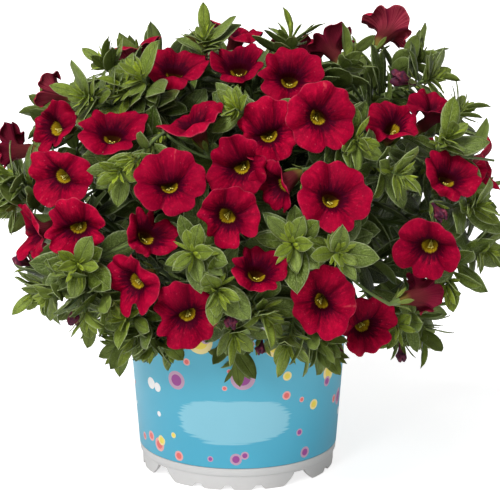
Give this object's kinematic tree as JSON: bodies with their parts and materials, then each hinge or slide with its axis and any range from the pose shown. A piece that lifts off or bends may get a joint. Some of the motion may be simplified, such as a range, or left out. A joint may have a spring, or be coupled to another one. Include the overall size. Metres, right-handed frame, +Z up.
{
  "type": "potted calibrachoa",
  "caption": "Round mound of small red trumpet flowers and green leafy stems in a tapered plastic pot with a wrapped printed sleeve.",
  "frame": {"origin": "middle of the pot's foot on the surface that it stands on", "axes": "+Z up along the pot axis; the side that the picture shows faces -Y, with +X to its right"},
  "size_m": [0.311, 0.3088, 0.272],
  "materials": {
    "pot": "satin",
    "label_sleeve": "satin",
    "soil": "matte",
    "crown": "matte",
    "leaf": "matte",
    "petal": "matte"
  },
  "bodies": {
    "root": {"bloom_bottom_far_right": "petal", "bloom_bottom_left": "petal", "bloom_bottom_right": "petal", "bloom_centre_low": "petal", "bloom_far_left_trumpet": "petal", "bloom_left_edge_high": "petal", "bloom_left_edge_low": "petal", "bloom_left_lower": "petal", "bloom_left_middle": "petal", "bloom_left_shoulder": "petal", "bloom_left_top": "petal", "bloom_low_left_tucked": "petal", "bloom_low_middle": "petal", "bloom_low_right_back": "petal", "bloom_lower_left": "petal", "bloom_middle_left": "petal", "bloom_rear_1": "petal", "bloom_rear_10": "petal", "bloom_rear_11": "petal", "bloom_rear_12": "petal", "bloom_rear_13": "petal", "bloom_rear_2": "petal", "bloom_rear_3": "petal", "bloom_rear_4": "petal", "bloom_rear_5": "petal", "bloom_rear_6": "petal", "bloom_rear_7": "petal", "bloom_rear_8": "petal", "bloom_rear_9": "petal", "bloom_right_edge": "petal", "bloom_right_edgewise": "petal", "bloom_right_lower": "petal", "bloom_right_middle": "petal", "bloom_right_of_centre": "petal", "bloom_right_shoulder": "petal", "bloom_top_back": "petal", "bloom_top_left": "petal", "bloom_top_middle": "petal", "bloom_top_right_back": "petal", "bloom_top_right_of_middle": "petal", "bloom_upper_left_edgewise": "petal", "bloom_upper_middle": "petal", "blooms_centre_high": "petal", "crown": "crown", "label_sleeve": "label_sleeve", "leafy_stem_01": "leaf", "leafy_stem_02": "leaf", "leafy_stem_03": "leaf", "leafy_stem_04": "leaf", "leafy_stem_05": "leaf", "leafy_stem_06": "leaf", "leafy_stem_07": "leaf", "leafy_stem_08": "leaf", "leafy_stem_09": "leaf", "leafy_stem_10": "leaf", "leafy_stem_11": "leaf", "leafy_stem_12": "leaf", "pot": "pot", "soil": "soil"}
  },
  "joints": []
}
